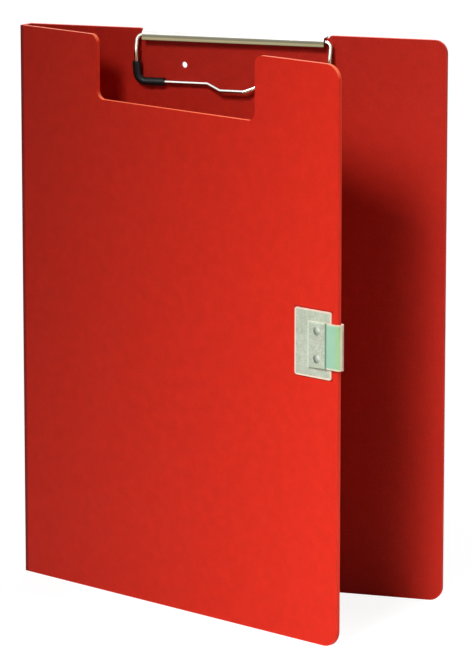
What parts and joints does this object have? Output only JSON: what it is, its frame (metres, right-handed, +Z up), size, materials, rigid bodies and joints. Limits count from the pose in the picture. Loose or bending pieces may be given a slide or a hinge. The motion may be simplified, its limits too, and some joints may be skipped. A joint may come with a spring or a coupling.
{
  "type": "covered clipboard",
  "caption": "Fold-over covered clipboard in stiff poly sheet, with a sprung wire clip along the top and a strap latch on the cover's free edge.",
  "frame": {"origin": "middle of the footprint, on the surface that the clipboard stands on", "axes": "+Z up the height of the panels, +X along the back board from the spine to its free edge, -Y towards the front cover"},
  "size_m": [0.2476, 0.1214, 0.3175],
  "materials": {
    "red_poly": "matte, with a fine haircell grain",
    "nickel_channel": "bright nickel plate",
    "nickel_wire": "bright nickel plate",
    "rivet_metal": "bare",
    "black_vinyl": "satin",
    "bare_plate": "bare, lightly speckled",
    "mint_strap": "satin vinyl"
  },
  "bodies": {
    "board": {"back_board": "red_poly", "clip_channel": "nickel_channel", "clip_hinge_plate": "nickel_channel", "clip_rivets": "rivet_metal"},
    "spine": {"spine_panel": "red_poly"},
    "cover": {"front_cover": "red_poly", "latch_plate": "bare_plate", "latch_strap": "mint_strap", "strap_clamp": "bare_plate", "latch_rivets": "rivet_metal"},
    "wire": {"clip_wire": "nickel_wire", "wire_sleeve_left": "black_vinyl", "wire_sleeve_right": "black_vinyl"}
  },
  "joints": [
    {"name": "spine_hinge", "type": "hinge", "parent": "board", "child": "spine", "pos_m": [-0.1212, 0.0586, 0.15], "axis": [0, 0, 1], "range_deg": [-167, 13]},
    {"name": "cover_hinge", "type": "hinge", "parent": "spine", "child": "cover", "pos_m": [-0.12345, 0.04885, 0.15], "axis": [0, 0, 1], "range_deg": [-167, 13]},
    {"name": "clip_hinge", "type": "hinge", "parent": "board", "child": "wire", "pos_m": [0.0013, 0.05395, 0.314], "axis": [-1, 0, 0], "range_deg": [0, 75], "stiffness_Nm_per_rad": 0.04, "springref_deg": -17.19}
  ]
}
